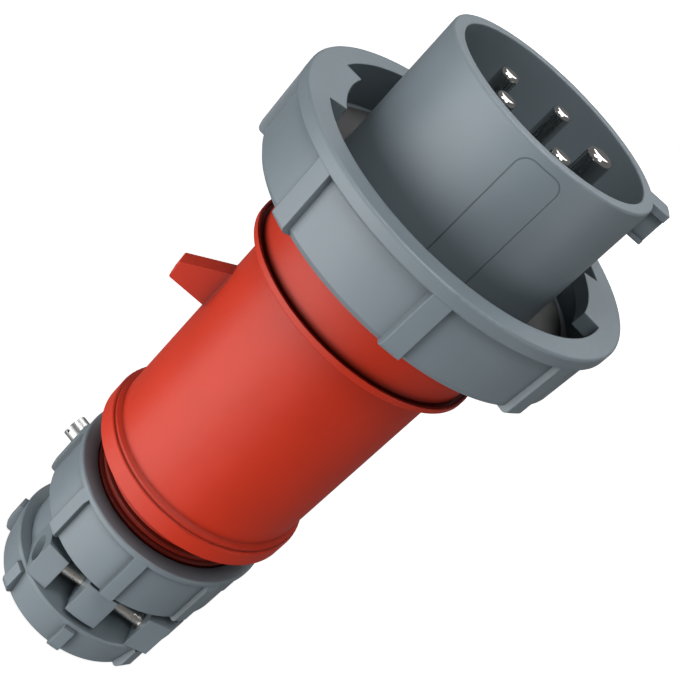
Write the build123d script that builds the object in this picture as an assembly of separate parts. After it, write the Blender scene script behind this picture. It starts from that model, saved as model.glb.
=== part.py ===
from build123d import *
import math
import os

# Industrial pin and sleeve plug, five poles, with a bayonet ring and a two-screw cable clamp.
# Millimetres. The plug stands on its rear face at Z = 0 and its pins point along +Z.
# The origin is the centre of the rear face, and +X points at the key beside the earth pin.

# Allowances used throughout
fit_gap = 0.05
cut_over = 1.0
sink = 0.5
wide = 50.0
slope_share = 0.7
edge_tolerance = 0.05

# Heights of the pieces that stack up from the rear face
clamp_ring_height = 14.5
window_height = 19.8
nut_length = 22.7
thread_gap = 11.0
collar_length = 9.5
barrel_length = 75.5
flange_thickness = 2.3
neck_length = 22.4
shroud_collar_thickness = 4.4
sleeve_length = 47.9

# Sleeve, its key and the floor that the pins come through
sleeve_radius = 35.0
sleeve_bore_radius = 31.25
sleeve_lip_round = 0.7
shroud_floor = 4.0
skirt_radius = 34.0
skirt_wall = 3.4
skirt_length = 17.7
key_height = 5.6
key_width = 8.0
key_length = 10.7
key_front_plate = 2.2
key_rear_plate = 1.2
key_web = 5.6
key_corner_round = 1.1
seal_groove_offset = 8.0
seal_section = 2.4
seal_squeeze = 0.4

# Contacts
pin_circle_radius = 16.7
pin_count = 5
line_pin_setback = 2.7
earth_pin_setback = 0.3
line_pin_radius = 3.0
earth_pin_radius = 4.0
tip_round_share = 0.45
line_barrel_radius = 4.6
earth_barrel_radius = 5.6
barrel_collar_step = 0.9
barrel_collar_length = 4.0
pin_root_step = 0.4
barrel_length_behind_floor = 30.0
wire_bore_wall = 1.9
wire_bore_depth = 15.0
terminal_screw_radius = 1.7
terminal_screw_height = 7.5
terminal_screw_bite = 0.8
terminal_head_gap = 0.1
terminal_window_play = 0.4
terminal_window_depth = 4.0
terminal_head_radius = 2.7
terminal_head_height = 1.8
terminal_slot_width = 0.8
terminal_slot_depth = 0.8

# Insulating carrier behind the floor
carrier_radius = 30.4
carrier_plate = 10.0
carrier_hub_radius = 11.0
carrier_hub_wall = 3.0
carrier_hub_setback = 4.0
tower_wall = 2.4
tower_length = 20.0
carrier_screw_count = 3
carrier_screw_circle = 24.5
carrier_screw_radius = 1.6
carrier_screw_bite = 2.8
carrier_screw_end_play = 0.2
carrier_head_radius = 3.0
carrier_head_height = 2.2
carrier_slot_width = 1.0
carrier_slot_depth = 1.0

# Bayonet ring
ring_front_offset = 31.7
ring_length = 24.0
ring_draft = 0.5
ring_rim_width = 7.1
ring_panel_depth = 1.9
ring_panel_chamfer = 1.7
ring_band = 3.9
ring_band_slope = 1.2
ring_front_round = 0.8
ring_rear_round = 1.5
ring_bead_height = 2.0
ring_bead_catch = 0.2
ring_bead_land = 0.8
ring_bead_reach = 0.7
ring_rib_count = 8
ring_rib_width = 5.4
ring_rib_flank = 0.95
lug_height = 5.5
lug_thickness = 5.0
lug_width_angle = 32.0
lug_count = 2
ring_turn_angle = 75.0
stop_block_angle = 8.0
stop_block_height = 4.0
stop_block_reach = 1.3
stop_notch_play = 0.6
stop_notch_spare_angle = 1.0
stop_start_angle = 95.0
ring_axial_play = 0.3
ring_radial_play = 0.8

# Rubber face seal round the root of the sleeve
face_seal_width = 11.0
face_seal_margin = 1.85
face_seal_round = 0.8
face_seal_thickness = 3.0

# Red housing
neck_radius = 37.4
flange_radius = 39.6
flange_lip = 0.8
flange_lip_height = 1.0
flange_lip_draft = 0.2
flange_chamfer = 0.4
flange_root_slope = 0.6
barrel_front_radius = 34.1
barrel_rear_radius = 33.85
housing_wall = 3.1
skirt_play = 0.1
skirt_end_play = 0.4
skirt_shoulder = 3.1
collar_radius = 36.3
collar_edge_round = 0.6
collar_groove_depth = 0.9
collar_groove_width = 1.1
collar_rear_chamfer = 2.8
collar_root_slope = 1.0
collar_front_slope = 0.8
spigot_radius = 28.2
spigot_end_height = 44.0
gland_bore_radius = 19.0
gland_seat_height = 62.0
gland_seat_radius = 14.0
gland_seat_thickness = 2.0
funnel_step = 2.0
funnel_height = 84.0

# Fin moulded on the housing, opposite the key
fin_thickness = 6.0
fin_reach = 47.4
fin_root_rear_height = 120.2
fin_root_length = 14.2
fin_tip_rear_height = 120.8
fin_tip_length = 6.2
fin_tip_lean = 0.2
fin_tip_round = 0.8
fin_sink = 1.4

# Gland nut
nut_radius = 35.8
nut_front_radius = 35.0
nut_front_round = 0.7
nut_panel_depth = 1.7
nut_band = 2.0
nut_band_slope = 0.8
nut_mouth_chamfer = 0.3
nut_rear_wall = 3.2
nut_rear_opening_radius = 23.4
nut_rib_count = 8
nut_rib_width = 4.4
nut_rib_flank = 0.4
nut_rib_fade = 2.0
nut_rib_setback = 1.0
nut_rear_round = 1.4
nut_rear_chamfer = 0.9
nut_rib_tuck = 0.2
thread_play = 1.1

# Screw that locks the nut on the clamp frame
lock_screw_angle = 157.5
lock_screw_radius = 2.0
lock_head_radius = 4.2
lock_head_height = 6.3
lock_seat_half = 4.8
lock_seat_depth = 0.3
lock_slot_width = 1.2
lock_slot_depth = 1.4
lock_screw_backed_off = 0.7

# Clamp frame behind the nut
frame_plate = 4.0
frame_edge_radius = 33.2
frame_rear_radius = 31.2
frame_edge_bevel = 0.5
frame_recess_slope = 1.5
frame_rib_height = 13.0
frame_rib_lead = 3.2
frame_rib_rise = 1.3
frame_rib_start = 0.6
frame_rib_round = 1.6
frame_rib_width = 3.9
frame_rib_flank = 0.35
frame_ring_wall = 3.6
cable_bore_radius = 14.0
frame_hub_play = 0.6
frame_flange_play = 1.0
frame_flange_thickness = 3.0
frame_boss_play = 0.6
frame_boss_length = 4.7
frame_hub_drop = 2.5
bridge_half_width = 5.6
bridge_inner_reach = 14.5
bridge_outer_reach = 32.3
bridge_step_height = 2.8
bridge_step_depth = 5.3
washer_thickness = 0.8
washer_inset = 0.4

# Rubber grommet that seals the cable
grommet_play = 0.3
grommet_bore_radius = 12.5
grommet_taper = 2.0

# Clamp jaws, their screws and nuts
jaw_radius = 29.0
jaw_flat_reach = 14.0
jaw_finger_sink = 2.0
jaw_step_y = 21.3
jaw_corner_x = 22.9
jaw_corner_y = 22.8
jaw_ear_end_x = 22.3
jaw_ear_end_y = 25.9
jaw_ear_slope = 0.23
jaw_ear_inner_x = 14.0
jaw_tip_x = 8.0
jaw_guide_play = 0.9
jaw_grip_radius = 14.3
jaw_grip_rib = 1.0
jaw_grip_rib_count = 3
jaw_grip_foot = 1.1
jaw_grip_crest = 0.3
jaw_top_play = 0.3
jaw_base_play = 0.3
jaw_ear_drop = 1.2
jaw_top_chamfer = 0.8
right_jaw_offset = 3.5
clamp_screw_y = 21.0
clamp_screw_height = 21.4
clamp_screw_radius = 2.5
clamp_head_radius = 4.0
clamp_head_height = 2.6
clamp_slot_width = 1.2
clamp_slot_depth = 1.4
clamp_screw_length = 41.0
counterbore_radius = 4.4
counterbore_floor_x = 16.3
clamp_hole_play = 0.35
clamp_nut_radius = 3.7
clamp_nut_length = 8.0
clamp_nut_proud = 0.2
clamp_nut_chamfer = 0.4
clamp_nut_bore_play = 0.08
pocket_play = 0.1

# Radii worked out from the sleeve outwards
face_seal_radius = sleeve_radius + fit_gap + face_seal_width
shroud_collar_radius = face_seal_radius + face_seal_margin
ring_opening_radius = shroud_collar_radius + ring_radial_play
ring_radius = ring_opening_radius + ring_rim_width
lug_radius = ring_opening_radius - lug_height
nut_bore_radius = spigot_radius + thread_play
frame_flange_radius = nut_bore_radius - frame_flange_play

# Heights worked out from the stack
frame_top = clamp_ring_height
nut_rear = frame_top + window_height
nut_front = nut_rear + nut_length
collar_rear = nut_front + thread_gap
collar_front = collar_rear + collar_length
barrel_front = collar_front + barrel_length
flange_front = barrel_front + flange_thickness
neck_front = flange_front + neck_length
shroud_collar_front = neck_front + shroud_collar_thickness
sleeve_front = shroud_collar_front + sleeve_length
floor_front = shroud_collar_front + shroud_floor
ring_front = sleeve_front - ring_front_offset
ring_rear = ring_front - ring_length
ring_web_front = neck_front - ring_axial_play
carrier_rear = shroud_collar_front - carrier_plate
tower_rear = carrier_rear - tower_length
contact_rear = shroud_collar_front - barrel_length_behind_floor
nut_wall_front = nut_rear + nut_rear_wall
flange_rear_height = nut_wall_front + washer_thickness
frame_flange_top = flange_rear_height + frame_flange_thickness
frame_boss_top = frame_flange_top + frame_boss_length
jaw_base = frame_top + jaw_base_play
hub_rear = nut_rear - frame_hub_drop
jaw_top = hub_rear - jaw_top_play


def turned(*outline):
    """Solid turned about the plug's axis from (radius, height) corners."""
    return revolve(Plane.XZ * make_face(Polyline(*outline, close=True)), Axis.Z, 360)


def rod(radius, low, high):
    """Plain cylinder on the plug's axis."""
    return Pos(0, 0, low) * Cylinder(radius, high - low, align=(Align.CENTER, Align.CENTER, Align.MIN))


def tube(outer, inner, low, high):
    """Plain ring on the plug's axis."""
    return turned((inner, low), (outer, low), (outer, high), (inner, high))


def sector(inner, outer, low, high, centre, width):
    """Part of a ring, centred on an angle about the axis."""
    outline = Polyline((inner, low), (outer, low), (outer, high), (inner, high), close=True)
    return Rot(0, 0, centre - width / 2) * revolve(Plane.XZ * make_face(outline), Axis.Z, width)


def box_between(low, high):
    """Box from its lowest to its highest corner."""
    size = [b - a for a, b in zip(low, high)]
    centre = [(a + b) / 2 for a, b in zip(low, high)]
    return Pos(*centre) * Box(*size)


def arcs_at(solid, radius, height):
    """Circular edges of a solid at one radius and height."""
    return [
        edge for edge in solid.edges().filter_by(GeomType.CIRCLE)
        if abs(edge.center().Z - height) < edge_tolerance and abs(edge.radius - radius) < edge_tolerance
    ]


def round_edges(solid, radius, height, size):
    """Round the circular edges at one radius and height."""
    return fillet(arcs_at(solid, radius, height), size)


def ribs(count, width, flank, inner, outer, low, high, phase=0.0):
    """Axial ribs with sloping flanks, spaced evenly round the axis."""
    half = width / 2
    foot = half + flank
    profile = make_face(Polyline((inner, -foot), (outer, -half), (outer, half), (inner, foot), close=True))
    rib = extrude(Pos(0, 0, low) * profile, high - low)
    return [Rot(0, 0, phase + 360.0 * i / count) * rib for i in range(count)]


def along_x(radius, start, end, y, z):
    """Cylinder along X at a given Y and Z."""
    length = end - start
    return Pos((start + end) / 2, y, z) * Rot(0, 90, 0) * Cylinder(radius, length)


def pin_place(index):
    """Place of one contact on the pin circle, counted from the earth pin."""
    angle = math.radians(360.0 * index / pin_count)
    return Pos(pin_circle_radius * math.cos(angle), pin_circle_radius * math.sin(angle), 0)


def contact_sizes(index):
    """Pin and terminal barrel radius: the earth contact is the larger one."""
    if index == 0:
        return earth_pin_radius, earth_barrel_radius
    return line_pin_radius, line_barrel_radius


def contact_tip(index):
    """Height of the contact's tip: the earth contact stands further out, so that it meets first."""
    if index == 0:
        return sleeve_front - earth_pin_setback
    return sleeve_front - line_pin_setback


def front_shroud():
    """Grey sleeve with its floor, wide collar, key and the skirt that enters the housing."""
    skirt_rear = neck_front - skirt_length
    body = turned(
        (0, shroud_collar_front), (skirt_radius - skirt_wall, shroud_collar_front),
        (skirt_radius - skirt_wall, skirt_rear), (skirt_radius, skirt_rear),
        (skirt_radius, neck_front), (shroud_collar_radius, neck_front),
        (shroud_collar_radius, shroud_collar_front), (sleeve_radius, shroud_collar_front),
        (sleeve_radius, sleeve_front), (sleeve_bore_radius, sleeve_front),
        (sleeve_bore_radius, floor_front), (0, floor_front))
    body = round_edges(body, sleeve_radius, sleeve_front, sleeve_lip_round)
    body = round_edges(body, sleeve_bore_radius, sleeve_front, sleeve_lip_round / 2)
    body += shroud_key()
    groove = neck_front - seal_groove_offset
    body -= tube(skirt_radius + cut_over, skirt_radius - seal_section + seal_squeeze,
                 groove - seal_section, groove)
    for index in range(pin_count):
        pin, barrel = contact_sizes(index)
        body -= pin_place(index) * rod(pin + pin_root_step + fit_gap, shroud_collar_front - cut_over,
                                       floor_front + cut_over)
    for place in carrier_screw_places():
        body -= place * rod(carrier_screw_radius, shroud_collar_front - cut_over,
                            shroud_collar_front + carrier_screw_bite)
    notch_width = ring_turn_angle + stop_block_angle + stop_notch_spare_angle
    notch_centre = stop_start_angle + ring_turn_angle / 2
    for side in range(lug_count):
        centre = notch_centre + 360.0 * side / lug_count
        body -= sector(stop_block_inner_radius() - stop_notch_play, shroud_collar_radius + cut_over,
                       neck_front - cut_over, shroud_collar_front + cut_over, centre, notch_width)
    return body


def shroud_key():
    """Key with full end plates, joined by a narrower web."""
    outer = sleeve_radius + key_height
    root = (sleeve_bore_radius + sleeve_radius) / 2
    half = key_width / 2
    low = sleeve_front - key_length
    block = box_between((root, -half, low), (outer, half, sleeve_front))
    for side in (-1, 1):
        near = sorted((side * key_web / 2, side * (half + cut_over)))
        block -= box_between((root - cut_over, near[0], low + key_rear_plate),
                             (outer + cut_over, near[1], sleeve_front - key_front_plate))
    envelope = rod(outer, low, sleeve_front)
    corners = [
        edge for edge in block.edges().filter_by(Axis.Z)
        if abs(edge.center().X - outer) < edge_tolerance and abs(abs(edge.center().Y) - half) < edge_tolerance
    ]
    return fillet(corners, key_corner_round) & envelope


def stop_block_inner_radius():
    """Radius of the inner faces of the two stop blocks in the ring."""
    return shroud_collar_radius - stop_block_reach


def carrier_screw_places():
    """Places of the carrier's screws, between the contacts."""
    angles = [36.0 + 144.0 * i for i in range(carrier_screw_count)]
    return [Pos(carrier_screw_circle * math.cos(math.radians(a)),
                carrier_screw_circle * math.sin(math.radians(a)), 0) for a in angles]


def contact_carrier():
    """Insulating carrier: a thick disc with one terminal tower behind each contact."""
    disc_top = shroud_collar_front
    body = rod(carrier_radius, carrier_rear, disc_top)
    body += rod(carrier_hub_radius, tower_rear + carrier_hub_setback, carrier_rear)
    for index in range(pin_count):
        barrel = contact_sizes(index)[1]
        body += pin_place(index) * rod(barrel + tower_wall, tower_rear, carrier_rear)
    body -= rod(carrier_hub_radius - carrier_hub_wall, tower_rear, carrier_rear + cut_over)
    for index in range(pin_count):
        barrel = contact_sizes(index)[1]
        angle = 360.0 * index / pin_count
        body -= pin_place(index) * rod(barrel + fit_gap, tower_rear - cut_over, disc_top)
        body -= pin_place(index) * rod(barrel + barrel_collar_step + fit_gap,
                                       disc_top - barrel_collar_length, disc_top + cut_over)
        window = along_x(terminal_head_radius + terminal_window_play, barrel - cut_over,
                         barrel + tower_wall + terminal_window_depth, 0, contact_rear + terminal_screw_height)
        body -= Rot(0, 0, angle) * Pos(pin_circle_radius, 0, 0) * window
    for place in carrier_screw_places():
        body -= place * rod(carrier_screw_radius + fit_gap, carrier_rear - cut_over, disc_top + cut_over)
    return body


def contact(index):
    """One contact: round pin, trapped collar and terminal barrel with its wire bore."""
    pin, barrel = contact_sizes(index)
    tip = contact_tip(index)
    shoulder = shroud_collar_front - barrel_collar_length
    body = turned(
        (0, contact_rear), (barrel, contact_rear), (barrel, shoulder), (barrel + barrel_collar_step, shoulder),
        (barrel + barrel_collar_step, shroud_collar_front), (pin + pin_root_step, shroud_collar_front),
        (pin + pin_root_step, floor_front), (pin, floor_front), (pin, tip), (0, tip))
    body = round_edges(body, pin, tip, pin * tip_round_share)
    body -= rod(barrel - wire_bore_wall, contact_rear - cut_over, contact_rear + wire_bore_depth)
    body -= along_x(terminal_screw_radius + fit_gap, 0, barrel + cut_over, 0, contact_rear + terminal_screw_height)
    return pin_place(index) * Rot(0, 0, 360.0 * index / pin_count) * body


def terminal_screws():
    """Slotted screws that clamp the wires, one in the side of each terminal barrel."""
    found = []
    for index in range(pin_count):
        barrel = contact_sizes(index)[1]
        height = contact_rear + terminal_screw_height
        seat = barrel + terminal_head_gap
        top = seat + terminal_head_height
        screw = along_x(terminal_screw_radius, barrel - wire_bore_wall - terminal_screw_bite, seat, 0, height)
        screw += along_x(terminal_head_radius, seat, top, 0, height)
        screw -= box_between((top - terminal_slot_depth, -wide, height - terminal_slot_width / 2),
                             (top + cut_over, wide, height + terminal_slot_width / 2))
        found.append(Rot(0, 0, 360.0 * index / pin_count) * Pos(pin_circle_radius, 0, 0) * screw)
    return Compound(children=found)


def carrier_screws():
    """Screws that hold the carrier against the floor of the sleeve."""
    found = []
    head_rear = carrier_rear - carrier_head_height
    screw_front = shroud_collar_front + carrier_screw_bite - carrier_screw_end_play
    for place in carrier_screw_places():
        screw = rod(carrier_screw_radius - fit_gap, head_rear, screw_front)
        screw += rod(carrier_head_radius, head_rear, carrier_rear)
        screw -= box_between((-wide, -carrier_slot_width / 2, head_rear - cut_over),
                             (wide, carrier_slot_width / 2, head_rear + carrier_slot_depth))
        found.append(place * screw)
    return Compound(children=found)


def body_seal():
    """Rubber ring in the groove of the skirt, sealing it in the housing."""
    groove = neck_front - seal_groove_offset
    return tube(skirt_radius, skirt_radius - seal_section + seal_squeeze, groove - seal_section, groove)


def face_seal():
    """Flat rubber seal that lies on the collar round the sleeve."""
    front = shroud_collar_front + face_seal_thickness
    body = tube(face_seal_radius, sleeve_radius + fit_gap, shroud_collar_front, front)
    return round_edges(body, face_seal_radius, front, face_seal_round)


def bayonet_ring():
    """Ring with eight grip ribs, two bayonet lugs, a snap bead and two stop blocks inside."""
    panel = ring_radius - ring_panel_depth
    foot = panel - ring_draft
    band_rear = ring_front - ring_band
    neck_clear = neck_radius + ring_radial_play
    root = ring_opening_radius + sink
    body = turned(
        (neck_clear, ring_rear), (foot - ring_panel_chamfer * slope_share, ring_rear),
        (foot, ring_rear + ring_panel_chamfer), (panel, band_rear - ring_band_slope),
        (ring_radius, band_rear), (ring_radius, ring_front),
        (ring_opening_radius, ring_front), (ring_opening_radius, ring_web_front), (neck_clear, ring_web_front))
    rear_radius = ring_radius - ring_draft
    envelope = turned((0, ring_rear), (rear_radius, ring_rear), (ring_radius, ring_front), (0, ring_front))
    envelope = round_edges(envelope, rear_radius, ring_rear, ring_rear_round)
    for rib in ribs(ring_rib_count, ring_rib_width, ring_rib_flank, panel - ring_panel_depth,
                    ring_radius + cut_over, ring_rear, band_rear):
        body += rib & envelope
    body = round_edges(body, ring_radius, ring_front, ring_front_round)
    for side in range(lug_count):
        turn = 360.0 * side / lug_count
        body += sector(lug_radius, root, ring_front - lug_thickness, ring_front, turn, lug_width_angle)
        body += sector(stop_block_inner_radius(), root, ring_web_front - sink,
                       ring_web_front + stop_block_height, stop_start_angle + turn, stop_block_angle)
    bead_low = shroud_collar_front + ring_axial_play
    bead_inner = shroud_collar_radius - ring_bead_reach
    body += turned((root, bead_low), (bead_inner, bead_low + ring_bead_catch),
                   (bead_inner, bead_low + ring_bead_catch + ring_bead_land), (root, bead_low + ring_bead_height))
    return body


def housing():
    """Red housing: neck, thin flange, barrel, grip collar, threaded spigot and the fin."""
    groove_radius = collar_radius - collar_groove_depth
    bore = barrel_rear_radius - housing_wall
    socket = skirt_radius + skirt_play
    socket_rear = neck_front - skirt_length - skirt_end_play
    body = turned(
        (gland_bore_radius, spigot_end_height), (spigot_radius, spigot_end_height),
        (spigot_radius, collar_rear - collar_root_slope), (collar_radius - collar_rear_chamfer, collar_rear),
        (collar_radius, collar_rear + collar_rear_chamfer * slope_share),
        (collar_radius, collar_front - collar_groove_width),
        (groove_radius, collar_front - collar_groove_width), (groove_radius, collar_front),
        (barrel_rear_radius, collar_front + collar_front_slope),
        (barrel_front_radius, barrel_front - flange_root_slope),
        (flange_radius - flange_chamfer, barrel_front), (flange_radius, barrel_front + flange_chamfer),
        (flange_radius, flange_front), (flange_radius - flange_lip, flange_front),
        (flange_radius - flange_lip - flange_lip_draft, flange_front - flange_lip_height),
        (neck_radius, flange_front - flange_lip_height), (neck_radius, neck_front),
        (socket, neck_front), (socket, socket_rear), (bore, socket_rear - skirt_shoulder), (bore, funnel_height),
        (gland_bore_radius + funnel_step, collar_rear - collar_root_slope),
        (gland_seat_radius, gland_seat_height + gland_seat_thickness), (gland_seat_radius, gland_seat_height),
        (gland_bore_radius, gland_seat_height))
    body = round_edges(body, collar_radius, collar_front - collar_groove_width, collar_edge_round)
    return body + housing_fin()


def housing_fin():
    """Swept fin on the barrel, opposite the key."""
    root = fin_sink - barrel_front_radius
    outline = Polyline(
        (root, fin_root_rear_height), (-barrel_front_radius, fin_root_rear_height),
        (-fin_reach, fin_tip_rear_height),
        (-fin_reach - fin_tip_lean, fin_tip_rear_height + fin_tip_length),
        (-barrel_front_radius, fin_root_rear_height + fin_root_length),
        (root, fin_root_rear_height + fin_root_length + sink), close=True)
    blade = extrude(Plane.XZ * make_face(outline), fin_thickness / 2, both=True)
    tips = [edge for edge in blade.edges().filter_by(Axis.Y) if edge.center().X < sink - fin_reach]
    return fillet(tips, fin_tip_round)


def seal_grommet():
    """Rubber grommet in the rear of the housing, with a tapered nose."""
    outer = gland_bore_radius - grommet_play
    low = frame_boss_top
    high = gland_seat_height - grommet_play
    return turned((grommet_bore_radius, low), (outer, low), (outer, high - grommet_taper),
                  (outer - grommet_taper, high), (grommet_bore_radius, high))


def gland_nut():
    """Ribbed nut that pulls the clamp frame against the grommet."""
    panel = nut_radius - nut_panel_depth
    band_rear = nut_front - nut_band
    rib_front = nut_front - nut_rib_setback
    body = turned(
        (nut_rear_opening_radius, nut_rear), (panel - nut_rear_chamfer, nut_rear),
        (panel, nut_rear + nut_rear_chamfer), (panel, band_rear - nut_band_slope),
        (nut_front_radius, band_rear), (nut_front_radius, nut_front),
        (nut_bore_radius + nut_mouth_chamfer, nut_front), (nut_bore_radius, nut_front - nut_mouth_chamfer),
        (nut_bore_radius, nut_wall_front),
        (nut_rear_opening_radius, nut_wall_front))
    body = round_edges(body, nut_front_radius, nut_front, nut_front_round)
    envelope = turned((0, nut_rear), (nut_radius, nut_rear), (nut_radius, band_rear - nut_rib_fade),
                      (nut_front_radius - nut_rib_tuck, rib_front), (0, rib_front))
    envelope = round_edges(envelope, nut_radius, nut_rear, nut_rear_round)
    for rib in ribs(nut_rib_count, nut_rib_width, nut_rib_flank, panel - nut_panel_depth,
                    nut_radius + cut_over, nut_rear, rib_front):
        body += rib & envelope
    place = Rot(0, 0, lock_screw_angle)
    height = (flange_rear_height + frame_flange_top) / 2
    body -= place * along_x(lock_screw_radius + fit_gap, nut_bore_radius - cut_over, nut_radius + cut_over,
                            0, height)
    body -= place * box_between((panel - lock_seat_depth, -lock_seat_half, height - lock_seat_half),
                                (nut_radius + cut_over, lock_seat_half, height + lock_seat_half))
    return body


def lock_screw():
    """Screw in the nut's wall that bears on the clamp frame's flange when it is turned in."""
    panel = nut_radius - nut_panel_depth
    height = (flange_rear_height + frame_flange_top) / 2
    seat = panel - lock_seat_depth
    top = seat + lock_head_height
    body = along_x(lock_screw_radius, frame_flange_radius + lock_screw_backed_off, seat, 0, height)
    head = along_x(lock_head_radius, seat, top, 0, height)
    head -= box_between((top - lock_slot_depth, -wide, height - lock_slot_width / 2),
                        (top + cut_over, wide, height + lock_slot_width / 2))
    return Rot(0, 0, lock_screw_angle) * (body + head)


def thrust_washer():
    """Thin washer that the nut turns on."""
    return tube(frame_flange_radius, nut_rear_opening_radius + washer_inset, nut_wall_front, flange_rear_height)


def clamp_frame():
    """Frame with the rear ring, two bridges for the clamp screws, and the boss that presses the grommet."""
    hub = nut_rear_opening_radius - frame_hub_play
    boss = gland_bore_radius - frame_boss_play
    plate_rear = frame_top - frame_plate
    body = turned(
        (frame_rear_radius - frame_ring_wall, 0), (frame_rear_radius, 0),
        (frame_edge_radius, frame_top - 2 * frame_edge_bevel),
        (frame_edge_radius - frame_edge_bevel, frame_top),
        (cable_bore_radius, frame_top), (cable_bore_radius, plate_rear),
        (frame_rear_radius - frame_ring_wall, plate_rear - frame_recess_slope))
    crest = frame_edge_radius + frame_rib_rise
    envelope = turned((0, frame_rib_start), (frame_edge_radius, frame_rib_start),
                      (crest, frame_rib_start + frame_rib_lead), (crest, frame_rib_height), (0, frame_rib_height))
    envelope = round_edges(envelope, frame_edge_radius, frame_rib_start, frame_rib_round)
    for rib in ribs(ring_rib_count, frame_rib_width, frame_rib_flank, frame_rear_radius - frame_rib_rise,
                    crest + cut_over, frame_rib_start, frame_rib_height):
        body += rib & envelope
    body += turned(
        (cable_bore_radius, hub_rear), (hub, hub_rear), (hub, flange_rear_height),
        (frame_flange_radius, flange_rear_height), (frame_flange_radius, frame_flange_top),
        (boss, frame_flange_top), (boss, frame_boss_top), (cable_bore_radius, frame_boss_top))
    for side in (-1, 1):
        body += frame_bridge(side)
    return body


def frame_bridge(side):
    """Bridge between the rear plate and the hub, drilled for one clamp screw."""
    step = bridge_outer_reach - bridge_step_depth
    inner = sorted((side * bridge_inner_reach, side * step))
    outer = sorted((side * (step - sink), side * (bridge_outer_reach + cut_over)))
    half = bridge_half_width
    column = box_between((-half, inner[0], frame_top - sink), (half, inner[1], hub_rear + sink))
    column += box_between((-half, outer[0], frame_top + bridge_step_height), (half, outer[1], hub_rear + sink))
    column &= rod(bridge_outer_reach, frame_top - sink, hub_rear + sink)
    return column - along_x(clamp_screw_radius + clamp_hole_play, -half - cut_over, half + cut_over,
                            side * clamp_screw_y, clamp_screw_height)


def jaw(side):
    """Clamp jaw for the left (-1) or right (1) side, with an ear for each clamp screw."""
    guide = bridge_inner_reach - jaw_guide_play
    ear_start_x = math.sqrt(jaw_radius**2 - jaw_flat_reach**2)
    finger_root = jaw_ear_inner_x + jaw_finger_sink
    ear_crown_y = jaw_ear_end_y + jaw_ear_slope * jaw_ear_end_x
    plan = Circle(jaw_radius) + make_face(Polyline(
        (0, 0), (-ear_start_x, jaw_flat_reach), (-jaw_corner_x, jaw_corner_y),
        (-jaw_ear_end_x, jaw_ear_end_y), (0, ear_crown_y), close=True))
    plan += mirror(plan, Plane.XZ)
    trim = Pos(wide - jaw_ear_inner_x, 0, 0) * Rectangle(2 * wide, 2 * wide)
    finger = Pos(-(jaw_tip_x + finger_root) / 2, 0, 0) * Rectangle(finger_root - jaw_tip_x, 2 * guide)
    plan = plan - trim + finger - Circle(jaw_grip_radius)
    body = extrude(Pos(0, 0, jaw_base) * plan, jaw_top - jaw_base)
    body &= turned((0, jaw_base), (wide, jaw_base), (wide, jaw_top - jaw_ear_drop),
                   (jaw_radius, jaw_top - jaw_top_chamfer), (jaw_radius - jaw_top_chamfer, jaw_top), (0, jaw_top))
    body -= jaw_ear_steps()
    body += jaw_grip(guide)
    for ear in (-1, 1):
        body -= jaw_screw_seat(side, ear)
    if side > 0:
        return Pos(right_jaw_offset, 0, 0) * mirror(body, Plane.YZ)
    return body


def jaw_ear_steps():
    """Stock cut from above both ears, so that they sit lower than the jaw's middle."""
    low = jaw_top - jaw_ear_drop
    cut = None
    for ear in (-1, 1):
        span = sorted((ear * jaw_step_y, ear * wide))
        piece = box_between((-wide, span[0], low), (0, span[1], jaw_top + cut_over))
        cut = piece if cut is None else cut + piece
    return cut


def jaw_grip(guide):
    """Low ribs across the concave face that holds the cable."""
    pitch = (jaw_top - jaw_base) / (jaw_grip_rib_count + 1)
    keep = box_between((-jaw_grip_radius - sink, -guide, jaw_base), (-jaw_tip_x, guide, jaw_top))
    grip = None
    for i in range(jaw_grip_rib_count):
        height = jaw_base + pitch * (i + 1)
        outer = jaw_grip_radius + sink
        inner = jaw_grip_radius - jaw_grip_rib
        rib = turned((outer, height - jaw_grip_foot), (outer, height + jaw_grip_foot),
                     (inner, height + jaw_grip_crest), (inner, height - jaw_grip_crest)) & keep
        grip = rib if grip is None else grip + rib
    return grip


def jaw_screw_seat(side, ear):
    """Clearance hole with a counterbore for a head on the outside, or a pocket for a nut on the inside."""
    y = ear * clamp_screw_y
    hole = along_x(clamp_screw_radius + clamp_hole_play, -wide, 0, y, clamp_screw_height)
    if side < 0:
        return hole + along_x(counterbore_radius, -wide, -counterbore_floor_x, y, clamp_screw_height)
    pocket_end = jaw_ear_inner_x - clamp_nut_proud + clamp_nut_length + pocket_play
    return hole + along_x(clamp_nut_radius + pocket_play, -pocket_end, 0, y, clamp_screw_height)


def clamp_screw(side):
    """Slotted screw across one side of the clamp, its head in the left jaw."""
    y = side * clamp_screw_y
    seat = -counterbore_floor_x
    top = seat - clamp_head_height
    body = along_x(clamp_screw_radius, seat, seat + clamp_screw_length, y, clamp_screw_height)
    head = along_x(clamp_head_radius, top, seat, y, clamp_screw_height)
    head -= box_between((top - cut_over, y - wide, clamp_screw_height - clamp_slot_width / 2),
                        (top + clamp_slot_depth, y + wide, clamp_screw_height + clamp_slot_width / 2))
    return body + head


def clamp_nut(side):
    """Round press-in nut in the right jaw, a little proud of the ear's inner face."""
    y = side * clamp_screw_y
    start = jaw_ear_inner_x + right_jaw_offset - clamp_nut_proud
    end = start + clamp_nut_length
    body = along_x(clamp_nut_radius, start, end, y, clamp_screw_height)
    body = chamfer(body.edges().filter_by(GeomType.CIRCLE), clamp_nut_chamfer)
    return body - along_x(clamp_screw_radius + clamp_nut_bore_play, start - cut_over, end + cut_over,
                          y, clamp_screw_height)


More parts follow.
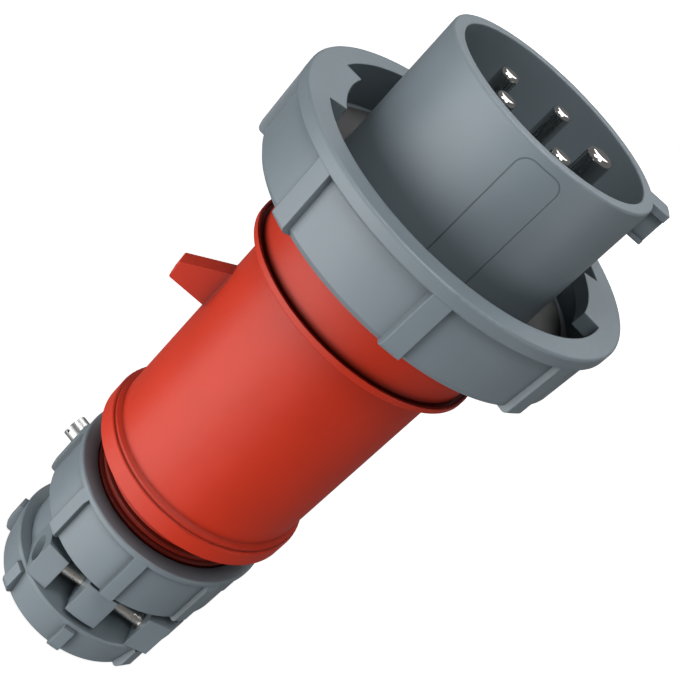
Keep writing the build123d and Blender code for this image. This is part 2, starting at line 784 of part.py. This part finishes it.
def pieces():
    """Every piece of the plug by name."""
    found = {
        "front_shroud": front_shroud(),
        "contact_carrier": contact_carrier(),
        "pin_earth": contact(0),
        "pin_phase_1": contact(1),
        "pin_phase_2": contact(2),
        "pin_phase_3": contact(3),
        "pin_neutral": contact(4),
        "terminal_screws": terminal_screws(),
        "carrier_screws": carrier_screws(),
        "body_seal": body_seal(),
        "face_seal": face_seal(),
        "bayonet_ring": bayonet_ring(),
        "housing": housing(),
        "seal_grommet": seal_grommet(),
        "gland_nut": gland_nut(),
        "nut_lock_screw": lock_screw(),
        "thrust_washer": thrust_washer(),
        "clamp_frame": clamp_frame(),
        "clamp_jaw_left": jaw(-1),
        "clamp_jaw_right": jaw(1),
        "clamp_screw_near": clamp_screw(-1),
        "clamp_screw_far": clamp_screw(1),
        "clamp_nut_near": clamp_nut(-1),
        "clamp_nut_far": clamp_nut(1),
    }
    return found


os.makedirs("parts", exist_ok=True)
for name, shape in pieces().items():
    export_step(shape, f"parts/{name}.step")
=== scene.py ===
import math
import bpy
from mathutils import Matrix, Vector


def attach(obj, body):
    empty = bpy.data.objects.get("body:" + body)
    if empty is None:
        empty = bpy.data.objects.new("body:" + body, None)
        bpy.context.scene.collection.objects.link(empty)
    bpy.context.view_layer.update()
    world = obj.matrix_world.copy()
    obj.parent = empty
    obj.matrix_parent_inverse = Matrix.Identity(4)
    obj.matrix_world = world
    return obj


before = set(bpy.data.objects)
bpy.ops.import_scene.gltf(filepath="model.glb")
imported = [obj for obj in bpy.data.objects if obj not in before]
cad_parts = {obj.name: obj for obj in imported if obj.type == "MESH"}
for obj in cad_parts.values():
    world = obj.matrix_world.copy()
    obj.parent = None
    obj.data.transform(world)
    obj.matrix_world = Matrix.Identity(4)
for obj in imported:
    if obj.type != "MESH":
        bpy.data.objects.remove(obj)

# Looks of an industrial pin and sleeve plug: moulded plastics, nickel contacts, steel screws and rubber
# seals. Metres, in the frame of the model: the plug stands on its rear face and its pins point along +Z.

MM = 0.001

# Camera of the photograph
CAMERA_PLACE = Vector((-0.0693, -0.2977, 0.3061))
CAMERA_RIGHT = Vector((0.76312, 0.16755, 0.62418))
CAMERA_UP = Vector((-0.61249, 0.49562, 0.61581))
CAMERA_LENS = 63.26
CAMERA_SENSOR = 36.0
CAMERA_NEAR = 0.01

# Colours of the finishes, as linear values
GREY_PLASTIC = (0.144, 0.177, 0.198)
RED_PLASTIC = (0.475, 0.0258, 0.0072)
CARRIER_PLASTIC = (0.62, 0.60, 0.55)
NICKEL = (0.66, 0.65, 0.63)
STEEL = (0.70, 0.67, 0.63)
WASHER_STEEL = (0.45, 0.45, 0.45)
RUBBER = (0.012, 0.012, 0.013)
FLOOR_WHITE = (0.93, 0.93, 0.93)
WHITE = (1.0, 1.0, 1.0)

# Edges and corners. A span holds the two readings of a signal between which an effect comes in.
EDGE_ROUND = 0.5 * MM
EDGE_SAMPLES = 6
# Painted shade in corners and creases: how far it reaches, how many samples, and the span over which it
# comes in
CREASE_REACH = 3.0 * MM
CREASE_SAMPLES = 8
CREASE_SPAN = (0.35, 0.95)
# Painted shade in gaps next to other parts: reach and span
GAP_SHADE_REACH = 12.0 * MM
GAP_SHADE_SPAN = (0.25, 0.95)
# Share of the colour left under full painted shade
PAINTED_SHADE_TONE = 0.30

# Moulded plastic
PLASTIC_IOR = 1.46
GREY_ROUGHNESS = 0.42
RED_ROUGHNESS = 0.46
RED_GLOSS = 0.32
# Thread: the housing's red darkened by this share, as painted shade
THREAD_PAINTED_SHADE = 0.4
THREAD_GLOSS = 0.3
CARRIER_ROUGHNESS = 0.5
MOULD_GRAIN = 0.35 * MM
GRAIN_DEPTH = 0.012 * MM
GRAIN_CONTRAST = 0.6
SPECK = 4 * MOULD_GRAIN
SPECK_ROUGHNESS = 0.10
CLOUD = 24 * MM
CLOUD_SPAN = (0.35, 0.65)
CLOUD_SHADES = (0.965, 1.035)
CLOUD_ROUGHNESS = 0.05

# Metals, with the rings that turning leaves
NICKEL_ROUGHNESS = 0.10
STEEL_ROUGHNESS = 0.26
WASHER_ROUGHNESS = 0.35
RING_PITCH = 0.18 * MM
RING_WAVE_SCALE = 0.314
RING_WANDER = 0.4
RING_DEPTH = 0.002 * MM
SCREW_RING_DEPTH = 0.0005 * MM
METAL_CLOUD = 3 * MM
METAL_CLOUD_SPAN = (0.3, 0.7)
METAL_CLOUD_SHADE = 0.93
METAL_CLOUD_ROUGHNESS = 0.08
METAL_CLOUD_RELIEF = 0.5
METAL_EDGE_ROUND = 0.2 * MM

# Rubber, with the dusty bloom on it
RUBBER_IOR = 1.5
RUBBER_ROUGHNESS = 0.62
RUBBER_GRAIN = 0.25 * MM
RUBBER_GRAIN_DEPTH = 0.02 * MM
BLOOM = 2.5 * MM
BLOOM_SPAN = (0.4, 0.75)
BLOOM_SHARE = 0.6
BLOOM_SHADE = 2.2
BLOOM_ROUGHNESS = 0.2

# Line engraved in the sleeve, round a panel on the side away from the fin and the key
OUTLINE_HALF = 6.5 * MM
OUTLINE_TOP = 227.0 * MM
OUTLINE_FOOT = 182.0 * MM
OUTLINE_CORNER = 3.5 * MM
OUTLINE_LINE = 0.16 * MM
OUTLINE_FADE = (0.6, 1.4)
OUTLINE_SIDE = (-0.93, -0.92)
# How much the engraved line's groove darkens, as painted shade
OUTLINE_PAINTED_SHADE = 0.55
OUTLINE_DEPTH = 14.0
SLEEVE_RADIUS = 35.0 * MM

# Thread on the rear of the housing
THREAD_PITCH = 3.0 * MM
THREAD_ROOT = 28.15 * MM
THREAD_CREST = 29.15 * MM
THREAD_LOW = 46.5 * MM
THREAD_HIGH = 63.2 * MM
THREAD_FOOT = 1.15 * MM
THREAD_TIP = 0.45 * MM
THREAD_STEPS = 60
THREAD_LEAD = 20

# Soft boxes: name, compass angle and height angle in degrees, side in metres, watts, whether the box lights
# the surfaces, and whether they mirror it
LIGHT_DISTANCE = 1.2
LIGHT_AIM = Vector((0.0, 0.0, 0.12))
SOFT_BOXES = (
    ("low_light", -135.0, -35.0, 1.6, 6.6, True, True),
    ("low_left_light", -155.0, -20.0, 1.2, 12.7, True, True),
    ("low_front_light", -115.0, -20.0, 1.2, 4.6, True, True),
    ("high_left_light", -155.0, 62.0, 0.4, 4.5, True, True),
    ("high_front_light", -85.0, 62.0, 0.4, 5.4, True, True),
    ("right_light", -30.0, 2.0, 0.4, 2.6, True, True),
    ("top_light", 0.0, 88.0, 0.5, 3.5, True, True),
    ("tip_light", 77.0, 55.0, 0.75, 7.0, False, True),
    ("back_light", 70.0, 5.0, 0.8, 7.0, True, False),
)
ROOM_BRIGHTNESS = 0.16

# Floor and the backdrop that it curves up into, in metres
FLOOR_GLOW = 1.0
# Painted shadow: the floor's glow greys to this tone near the plug, within the reach below
FLOOR_PAINTED_SHADOW = (0.80, 0.80, 0.80)
FLOOR_PAINTED_SHADOW_REACH = 0.03
FLOOR_ROUGHNESS = 0.85
FLOOR_GLOSS = 0.2
FLOOR_CLOUD = 0.12
FLOOR_CLOUD_SHADE = 0.99
FLOOR_FLAT = 2.4
COVE_RADIUS = 0.8
COVE_STEPS = 8
BACKDROP_HEIGHT = 5.0
FLOOR_SIDES = 64


class Signal:
    """One output of a shader node, which can be used in sums with numbers and other outputs."""

    def __init__(self, finish, socket):
        self.finish = finish
        self.socket = socket

    def _sum(self, operation, first, second):
        return self.finish.add("ShaderNodeMath", {"operation": operation}, {0: first, 1: second})

    def __add__(self, other):
        return self._sum("ADD", self, other)

    def __radd__(self, other):
        return self._sum("ADD", other, self)

    def __sub__(self, other):
        return self._sum("SUBTRACT", self, other)

    def __rsub__(self, other):
        return self._sum("SUBTRACT", other, self)

    def __mul__(self, other):
        return self._sum("MULTIPLY", self, other)

    def __rmul__(self, other):
        return self._sum("MULTIPLY", other, self)

    def __pow__(self, other):
        return self._sum("POWER", self, other)


class Finish:
    """A material with one Principled shader, and the only way in which nodes are added to it."""

    def __init__(self, name, **constants):
        self.material = bpy.data.materials.new(name)
        self.material.use_nodes = True
        self.tree = self.material.node_tree
        self.shader = self.tree.nodes["Principled BSDF"]
        self.coords = self.add("ShaderNodeTexCoord", {}, {}, "Object")
        for socket, value in constants.items():
            self.set(socket.replace("_", " "), value)

    def put(self, target, value):
        """Gives one input its value or link."""
        if isinstance(value, Signal):
            self.tree.links.new(value.socket, target)
        else:
            target.default_value = value

    def set(self, socket, value):
        """Gives one input of the shader its value or link."""
        if socket == "Base Color" and not isinstance(value, Signal):
            value = (*value, 1.0)
        self.put(self.shader.inputs[socket], value)

    def add(self, kind, settings, values, output=0):
        """Adds a node with its settings first, then the values or links of its sockets."""
        node = self.tree.nodes.new(kind)
        for name, setting in settings.items():
            setattr(node, name, setting)
        for socket, value in values.items():
            self.put(node.inputs[socket], value)
        return Signal(self, node.outputs[output])

    def noise(self, size, detail=2.0, roughness=0.5):
        """Noise with features of about one size in metres, from 0 to 1."""
        return self.add("ShaderNodeTexNoise", {}, {
            "Vector": self.coords, "Scale": 1.0 / size, "Detail": detail, "Roughness": roughness})

    def spread(self, signal, span, new_low=0.0, new_high=1.0):
        """Stretches a signal from its span to a new range, and holds it there."""
        low, high = span
        return self.add("ShaderNodeMapRange", {"clamp": True}, {
            "Value": signal, "From Min": low, "From Max": high, "To Min": new_low, "To Max": new_high})

    def blend(self, share, first, second):
        """Colour between two colours or signals."""
        ends = [colour if isinstance(colour, Signal) else (*colour, 1.0) for colour in (first, second)]
        return self.add("ShaderNodeMix", {"data_type": "RGBA"}, {0: share, 6: ends[0], 7: ends[1]}, 2)

    def absolute(self, signal):
        """A number without its sign."""
        return self.add("ShaderNodeMath", {"operation": "ABSOLUTE"}, {0: signal})

    def larger(self, first, second):
        """The larger of two numbers."""
        return self.add("ShaderNodeMath", {"operation": "MAXIMUM"}, {0: first, 1: second})

    def crease(self, reach=CREASE_REACH, alone=True):
        """Share of open air round a point, from 0 deep in a corner to 1 on an open face."""
        settings = {"samples": CREASE_SAMPLES, "only_local": alone}
        return self.add("ShaderNodeAmbientOcclusion", settings, {"Distance": reach}, "AO")

    def parts_of(self, vector):
        """The three parts of a vector, as signals."""
        return [self.add("ShaderNodeSeparateXYZ", {}, {0: vector}, part) for part in "XYZ"]

    def relief(self, height, depth, edge=EDGE_ROUND):
        """Raises the surface by a height signal, on edges that are rounded off."""
        soft = self.add("ShaderNodeBevel", {"samples": EDGE_SAMPLES}, {"Radius": edge})
        self.set("Normal", self.add("ShaderNodeBump", {}, {
            "Strength": 1.0, "Distance": depth, "Height": height, "Normal": soft}))


def shade(colour, factor):
    """A colour made lighter or darker."""
    return tuple(min(1.0, channel * factor) for channel in colour)


def moulded_plastic(name, colour, roughness, gloss=0.5, line=None, shade_gaps=False):
    """Moulded plastic with soft clouding, a fine grain, and painted shade in its corners and creases, and
    where asked in gaps next to other parts and in an engraved line.
    """
    finish = Finish(name, IOR=PLASTIC_IOR, Specular_IOR_Level=gloss)
    cloud = finish.noise(CLOUD, detail=3.0)
    speck = finish.noise(SPECK)
    dark, light = (shade(colour, factor) for factor in CLOUD_SHADES)
    tint = finish.blend(finish.spread(cloud, CLOUD_SPAN), dark, light)
    # Painted shade: share of the full colour, lower in corners and creases
    unshaded_share = finish.spread(finish.crease(), CREASE_SPAN)
    if shade_gaps:
        # Painted shade in gaps next to other parts
        unshaded_share = unshaded_share * finish.spread(finish.crease(GAP_SHADE_REACH, alone=False), GAP_SHADE_SPAN)
    height = finish.noise(MOULD_GRAIN, roughness=GRAIN_CONTRAST)
    if line:
        groove = line(finish)
        # The engraved line's groove gets painted shade
        unshaded_share = unshaded_share * (1 - OUTLINE_PAINTED_SHADE * groove)
        height = height - OUTLINE_DEPTH * groove
    # Colour falls to the painted-shade tone where that share is low
    finish.set("Base Color", finish.blend(unshaded_share, shade(colour, PAINTED_SHADE_TONE), tint))
    finish.set("Roughness", roughness + CLOUD_ROUGHNESS * (cloud - 0.5) + SPECK_ROUGHNESS * (speck - 0.5))
    finish.relief(height, GRAIN_DEPTH)
    return finish.material


def sleeve_outline(finish):
    """Mask of the thin line engraved in the sleeve: straight sides, a top edge and two round corners."""
    across, away, height = finish.parts_of(finish.coords)
    side = finish.absolute(across)
    over_side = finish.larger(side - (OUTLINE_HALF - OUTLINE_CORNER), 0.0)
    over_top = finish.larger(height - (OUTLINE_TOP - OUTLINE_CORNER), 0.0)
    reach = (over_side ** 2 + over_top ** 2) ** 0.5
    fade = [share * OUTLINE_LINE for share in OUTLINE_FADE]
    line = finish.spread(finish.absolute(reach - OUTLINE_CORNER), fade, 1.0, 0.0)
    outside = finish.spread(away, [share * SLEEVE_RADIUS for share in OUTLINE_SIDE], 1.0, 0.0)
    above_foot = finish.spread(height, (OUTLINE_FOOT, OUTLINE_FOOT + OUTLINE_LINE))
    return line * outside * above_foot


def bright_metal(name, colour, roughness, ring_depth=RING_DEPTH, ring_axis="Z"):
    """Turned and plated metal, with faint rings round its axis."""
    finish = Finish(name, Metallic=1.0)
    cloud = finish.noise(METAL_CLOUD, detail=3.0)
    rings = finish.add("ShaderNodeTexWave", {"bands_direction": ring_axis}, {
        "Vector": finish.coords, "Scale": RING_WAVE_SCALE / RING_PITCH, "Distortion": RING_WANDER,
        "Detail": 1.0}, output=1)
    clear = finish.spread(cloud, METAL_CLOUD_SPAN)
    finish.set("Base Color", finish.blend(clear, shade(colour, METAL_CLOUD_SHADE), colour))
    finish.set("Roughness", roughness + METAL_CLOUD_ROUGHNESS * (cloud - 0.5))
    finish.relief(rings + METAL_CLOUD_RELIEF * cloud, ring_depth, METAL_EDGE_ROUND)
    return finish.material


def sealing_rubber(name, colour):
    """Dull black rubber with a dusty bloom."""
    finish = Finish(name, IOR=RUBBER_IOR)
    bloom = finish.noise(BLOOM, detail=4.0, roughness=0.65)
    dust = finish.spread(bloom, BLOOM_SPAN, 0.0, BLOOM_SHARE)
    finish.set("Base Color", finish.blend(dust, colour, shade(colour, BLOOM_SHADE)))
    finish.set("Roughness", RUBBER_ROUGHNESS + BLOOM_ROUGHNESS * (bloom - 0.5))
    finish.relief(finish.noise(RUBBER_GRAIN, detail=3.0, roughness=GRAIN_CONTRAST), RUBBER_GRAIN_DEPTH)
    return finish.material


def floor_paint(name, colour):
    """White paint that glows, with a painted shadow that greys it where the plug stands close to it."""
    finish = Finish(name, Roughness=FLOOR_ROUGHNESS, Specular_IOR_Level=FLOOR_GLOSS,
                    Emission_Strength=FLOOR_GLOW)
    # Painted shadow: the glow greys where the plug stands close
    unshaded_share = finish.crease(FLOOR_PAINTED_SHADOW_REACH, alone=False)
    finish.set("Emission Color", finish.blend(unshaded_share, FLOOR_PAINTED_SHADOW, WHITE))
    cloud = finish.noise(FLOOR_CLOUD)
    finish.set("Base Color", finish.blend(cloud, shade(colour, FLOOR_CLOUD_SHADE), colour))
    return finish.material


def dress(material, *nodes):
    """Gives the named pieces of the model their finish."""
    for name in nodes:
        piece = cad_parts[name]
        for slot in piece.material_slots:
            slot.material = material


def dress_all():
    """Finishes of every piece of the model."""
    grey = moulded_plastic("grey_plastic", GREY_PLASTIC, GREY_ROUGHNESS)
    sleeve = moulded_plastic("sleeve_plastic", GREY_PLASTIC, GREY_ROUGHNESS, line=sleeve_outline)
    # Nut, housing and thread: painted shade in gaps next to other parts
    nut = moulded_plastic("nut_plastic", GREY_PLASTIC, GREY_ROUGHNESS, shade_gaps=True)
    red = moulded_plastic("red_plastic", RED_PLASTIC, RED_ROUGHNESS, gloss=RED_GLOSS, shade_gaps=True)
    # Thread: the housing's red darkened as painted shade
    thread = moulded_plastic("thread_plastic_painted_shade", shade(RED_PLASTIC, THREAD_PAINTED_SHADE), RED_ROUGHNESS,
                             gloss=THREAD_GLOSS, shade_gaps=True)
    carrier = moulded_plastic("carrier_plastic", CARRIER_PLASTIC, CARRIER_ROUGHNESS)
    nickel = bright_metal("nickel_plate", NICKEL, NICKEL_ROUGHNESS)
    steel = bright_metal("screw_steel", STEEL, STEEL_ROUGHNESS, ring_depth=SCREW_RING_DEPTH, ring_axis="X")
    washer = bright_metal("washer_steel", WASHER_STEEL, WASHER_ROUGHNESS)
    rubber = sealing_rubber("seal_rubber", RUBBER)
    dress(sleeve, "front_shroud")
    dress(grey, "bayonet_ring", "clamp_frame", "clamp_jaw_left", "clamp_jaw_right")
    dress(nut, "gland_nut")
    dress(red, "housing")
    spigot_thread(thread)
    dress(carrier, "contact_carrier")
    dress(nickel, "pin_earth", "pin_phase_1", "pin_phase_2", "pin_phase_3", "pin_neutral")
    dress(steel, "terminal_screws", "carrier_screws", "clamp_screw_near", "clamp_screw_far",
          "clamp_nut_near", "clamp_nut_far")
    dress(washer, "thrust_washer", "nut_lock_screw")
    dress(rubber, "body_seal", "face_seal", "seal_grommet")


def spigot_thread(material):
    """Raised thread that winds round the rear of the housing, in front of and inside the gland nut."""
    turns = (THREAD_HIGH - THREAD_LOW) / THREAD_PITCH
    count = int(turns * THREAD_STEPS)
    points = []
    faces = []
    for step in range(count + 1):
        angle = 2 * math.pi * step / THREAD_STEPS
        middle = THREAD_LOW + THREAD_PITCH * step / THREAD_STEPS
        rise = min(1.0, step / THREAD_LEAD, (count - step) / THREAD_LEAD)
        crest = THREAD_ROOT + (THREAD_CREST - THREAD_ROOT) * rise
        for radius, offset in ((THREAD_ROOT, -THREAD_FOOT), (crest, -THREAD_TIP), (crest, THREAD_TIP),
                               (THREAD_ROOT, THREAD_FOOT)):
            points.append((radius * math.cos(angle), radius * math.sin(angle), middle + offset))
        if step:
            base = 4 * step
            for side in range(4):
                after = (side + 1) % 4
                faces.append((base - 4 + side, base + side, base + after, base - 4 + after))
    faces += [(0, 3, 2, 1), (4 * count, 4 * count + 1, 4 * count + 2, 4 * count + 3)]
    mesh = bpy.data.meshes.new("spigot_thread")
    mesh.from_pydata(points, [], faces)
    mesh.materials.append(material)
    thread = bpy.data.objects.new("spigot_thread", mesh)
    bpy.context.scene.collection.objects.link(thread)
    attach(thread, "plug_body")


def look_from(place, right, up):
    """Placement of a camera or light that looks along its own -Z axis."""
    right = right.normalized()
    back = right.cross(up).normalized()
    up = back.cross(right)
    turn = Matrix((right, up, back)).transposed().to_4x4()
    return Matrix.Translation(place) @ turn


def set_camera():
    """Camera at the place and with the roll of the photograph."""
    data = bpy.data.cameras.new("camera")
    data.lens = CAMERA_LENS
    data.sensor_width = CAMERA_SENSOR
    data.sensor_fit = "HORIZONTAL"
    data.clip_start = CAMERA_NEAR
    camera = bpy.data.objects.new("camera", data)
    camera.matrix_world = look_from(CAMERA_PLACE, CAMERA_RIGHT, CAMERA_UP)
    bpy.context.scene.collection.objects.link(camera)
    bpy.context.scene.camera = camera


def soft_light(name, compass, height, side, watts, lighting, mirrored):
    """Square soft box at one distance from the plug, turned towards it."""
    turn = math.radians(compass)
    lift = math.radians(height)
    way = Vector((math.cos(lift) * math.cos(turn), math.cos(lift) * math.sin(turn), math.sin(lift)))
    data = bpy.data.lights.new(name, "AREA")
    data.shape = "SQUARE"
    data.size = side
    data.energy = watts
    light = bpy.data.objects.new(name, data)
    light.visible_diffuse = lighting
    light.visible_glossy = mirrored
    facing = way.to_track_quat("Z", "Y").to_matrix().to_4x4()
    light.matrix_world = Matrix.Translation(LIGHT_AIM + LIGHT_DISTANCE * way) @ facing
    bpy.context.scene.collection.objects.link(light)


def set_lights():
    """Soft boxes on the photograph's bright side, weaker ones above and behind, and a dim white room."""
    for box in SOFT_BOXES:
        soft_light(*box)
    world = bpy.data.worlds.new("white_room")
    world.use_nodes = True
    background = world.node_tree.nodes["Background"]
    background.inputs["Color"].default_value = (*WHITE, 1.0)
    background.inputs["Strength"].default_value = ROOM_BRIGHTNESS
    bpy.context.scene.world = world


def set_floor():
    """Wide pale floor that curves up into a backdrop on every side."""
    profile = [(FLOOR_FLAT, 0.0)]
    for step in range(1, COVE_STEPS + 1):
        turn = 0.5 * math.pi * step / COVE_STEPS
        profile.append((FLOOR_FLAT + COVE_RADIUS * math.sin(turn), COVE_RADIUS * (1 - math.cos(turn))))
    profile.append((FLOOR_FLAT + COVE_RADIUS, BACKDROP_HEIGHT))
    points = []
    for radius, height in profile:
        for side in range(FLOOR_SIDES):
            turn = 2 * math.pi * side / FLOOR_SIDES
            points.append((radius * math.cos(turn), radius * math.sin(turn), height))
    faces = [tuple(range(FLOOR_SIDES))]
    for row in range(len(profile) - 1):
        for side in range(FLOOR_SIDES):
            after = (side + 1) % FLOOR_SIDES
            low = row * FLOOR_SIDES
            high = low + FLOOR_SIDES
            faces.append((low + side, low + after, high + after, high + side))
    mesh = bpy.data.meshes.new("studio_floor")
    mesh.from_pydata(points, [], faces)
    mesh.shade_smooth()
    mesh.materials.append(floor_paint("floor_paint", FLOOR_WHITE))
    floor = bpy.data.objects.new("studio_floor", mesh)
    bpy.context.scene.collection.objects.link(floor)
    floor.visible_diffuse = False
    floor.visible_glossy = False
    floor.visible_shadow = False


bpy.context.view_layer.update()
dress_all()
set_camera()
set_lights()
set_floor()
bpy.context.scene.view_settings.view_transform = "Standard"
